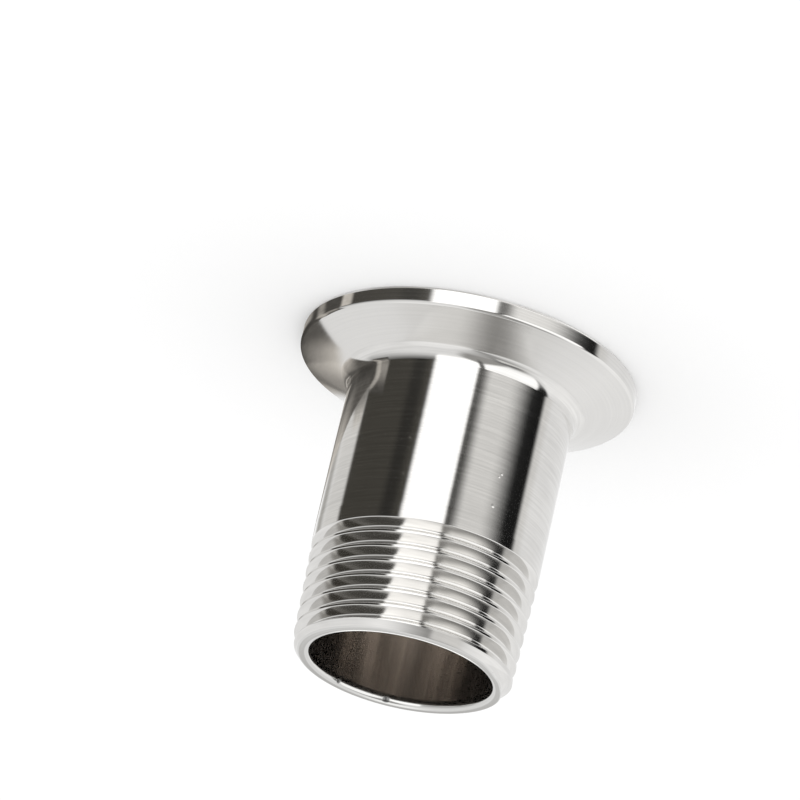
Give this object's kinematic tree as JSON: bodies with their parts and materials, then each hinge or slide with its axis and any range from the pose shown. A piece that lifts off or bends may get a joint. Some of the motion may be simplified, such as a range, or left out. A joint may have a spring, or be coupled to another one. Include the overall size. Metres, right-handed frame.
{
  "type": "sanitary ferrule",
  "caption": "Hygienic clamp ferrule: grooved round flange, plain neck and male taper pipe thread round one straight through bore.",
  "frame": {"origin": "centre of the sealing face, which the ferrule stands on", "axes": "+Z along the bore, from the sealing face to the threaded mouth"},
  "size_m": [0.0506, 0.0506, 0.05],
  "materials": {
    "stainless": "turned, fine lathe marks round the axis; satin on the flange faces"
  },
  "bodies": {
    "root": {"ferrule": "stainless"}
  },
  "joints": []
}
